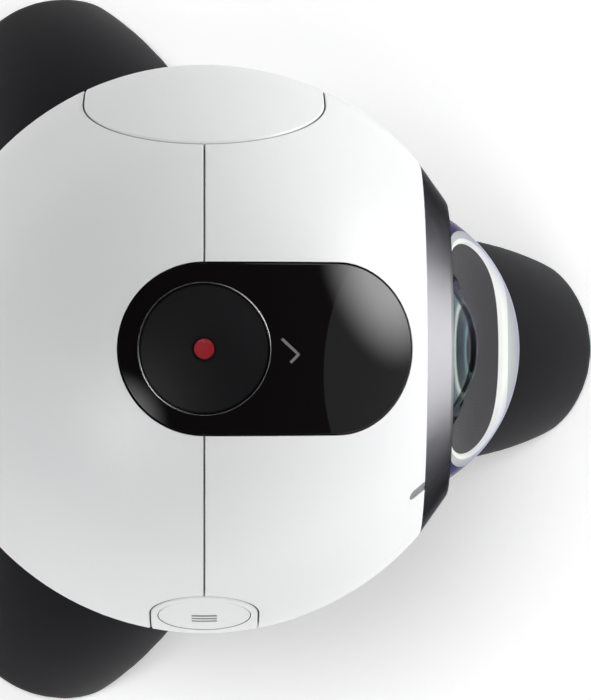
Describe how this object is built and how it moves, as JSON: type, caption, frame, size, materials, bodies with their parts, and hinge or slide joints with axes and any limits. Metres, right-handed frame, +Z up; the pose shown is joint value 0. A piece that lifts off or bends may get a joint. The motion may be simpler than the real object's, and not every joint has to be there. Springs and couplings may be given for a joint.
{
  "type": "360 degree camera on a folding tripod",
  "caption": "White ball camera with a glass fisheye dome on its front and back, a glossy black top window with a record button, and a small black stand with folding legs.",
  "frame": {"origin": "on the table under the middle of the ball, level with the undersides of the feet", "axes": "+Z up, the front lens looks along -Y, the side door faces +X and the key plate -X"},
  "size_m": [0.086, 0.0808, 0.1042],
  "materials": {
    "white": "satin moulded white",
    "ring_metal": "satin gunmetal",
    "dome_glass": "polished and coated",
    "baffle_grey": "matt grey",
    "barrel_black": "black anodised",
    "board": "green board",
    "chip": "dark gloss",
    "window_black": "high gloss black",
    "key_black": "satin black",
    "dot_red": "red inlay",
    "inner_plastic": "matt dark grey",
    "steel": "plain steel",
    "cell": "wrapped cell",
    "gold": "gold plated",
    "rubber": "matt black rubber",
    "stand_black": "soft satin black"
  },
  "bodies": {
    "camera": {"front_shell": "white", "rear_shell": "white", "base_plate": "white", "key_plate": "white", "front_lens_ring": "ring_metal", "rear_lens_ring": "ring_metal", "front_dome": "dome_glass", "rear_dome": "dome_glass", "front_lens_group": "dome_glass", "rear_lens_group": "dome_glass", "front_baffle": "baffle_grey", "rear_baffle": "baffle_grey", "front_barrel": "barrel_black", "rear_barrel": "barrel_black", "inner_frame": "barrel_black", "front_sensor_board": "board", "rear_sensor_board": "board", "key_boards": "board", "main_board": "board", "port_boards": "board", "front_image_sensor": "chip", "rear_image_sensor": "chip", "display_module": "chip", "memory_card": "chip", "top_window": "window_black", "mic_meshes": "inner_plastic", "button_carrier": "inner_plastic", "key_bracket": "inner_plastic", "bay_bezel": "inner_plastic", "shell_screws": "steel", "record_switch": "steel", "key_switches": "steel", "usb_socket": "steel", "card_socket": "steel", "tripod_bush": "steel", "battery": "cell", "battery_contacts": "gold", "door_strap": "rubber"},
    "record_key": {"record_button": "key_black", "record_dot": "dot_red"},
    "menu_key": {"menu_button": "white"},
    "power_key": {"power_button": "white"},
    "door": {"side_door": "white", "door_seal": "rubber"},
    "stand": {"tripod_hub": "stand_black", "tripod_screw": "steel", "hub_pad": "rubber", "leg_pins": "steel"},
    "front_leg": {"leg_front": "stand_black", "foot_front": "rubber"},
    "left_leg": {"leg_left": "stand_black", "foot_left": "rubber"},
    "right_leg": {"leg_right": "stand_black", "foot_right": "rubber"}
  },
  "joints": [
    {"name": "record_press", "type": "slide", "parent": "camera", "child": "record_key", "axis": [0, 0, -1], "range_m": [0, 0.0004], "stiffness_N_per_m": 500, "springref_m": -0.0004},
    {"name": "menu_press", "type": "slide", "parent": "camera", "child": "menu_key", "axis": [0.9304, 0, -0.3665], "range_m": [0, 0.0004], "stiffness_N_per_m": 500, "springref_m": -0.0004},
    {"name": "power_press", "type": "slide", "parent": "camera", "child": "power_key", "axis": [0.9304, 0, 0.3665], "range_m": [0, 0.0004], "stiffness_N_per_m": 500, "springref_m": -0.0004},
    {"name": "door_open", "type": "hinge", "parent": "camera", "child": "door", "pos_m": [0.02079, 0, 0.05264], "axis": [0, 1, 0], "range_deg": [0, 100], "deforming": ["door_strap"]},
    {"name": "stand_turn", "type": "hinge", "parent": "camera", "child": "stand", "pos_m": [0, 0, 0.04805], "axis": [0, 0, 1], "continuous": true},
    {"name": "front_leg_fold", "type": "hinge", "parent": "stand", "child": "front_leg", "pos_m": [0, -0.0095, 0.03725], "axis": [1, 0, 0], "range_deg": [0, 45]},
    {"name": "right_leg_fold", "type": "hinge", "parent": "stand", "child": "right_leg", "pos_m": [0.00823, 0.00475, 0.03725], "axis": [-0.5, 0.866, 0], "range_deg": [0, 45]},
    {"name": "left_leg_fold", "type": "hinge", "parent": "stand", "child": "left_leg", "pos_m": [-0.00823, 0.00475, 0.03725], "axis": [-0.5, -0.866, 0], "range_deg": [0, 45]}
  ]
}
